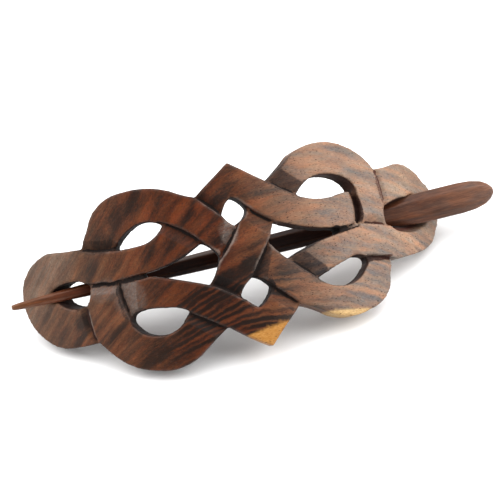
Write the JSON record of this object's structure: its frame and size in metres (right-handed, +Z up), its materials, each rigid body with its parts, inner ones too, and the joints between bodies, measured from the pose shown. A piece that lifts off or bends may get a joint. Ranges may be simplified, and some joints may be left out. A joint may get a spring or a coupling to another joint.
{
  "type": "wooden barrette",
  "caption": "Arched wooden hair barrette carved and pierced as an endless interlaced knot, with a tapered stick that slides through its end loops.",
  "frame": {"origin": "on the surface the barrette lies on, under the middle of the extents of the plaque and stick together", "axes": "+X along the barrette from the stick's tip to its handle, +Y away from the viewer across the barrette, +Z up from the surface; the plaque lies rolled about 44 degrees onto its front corners, as it comes to rest"},
  "size_m": [0.1326, 0.0426, 0.0396],
  "materials": {
    "carved_rosewood": "oiled, satin",
    "dark_rosewood": "oiled, satin"
  },
  "bodies": {
    "knot_plaque": {"knot_plaque": "carved_rosewood"},
    "hair_stick": {"hair_stick": "dark_rosewood"}
  },
  "joints": [
    {"name": "stick_slide", "type": "slide", "parent": "knot_plaque", "child": "hair_stick", "axis": [0.9998, -0.0141, -0.0158], "range_m": [0, 0.12]}
  ]
}
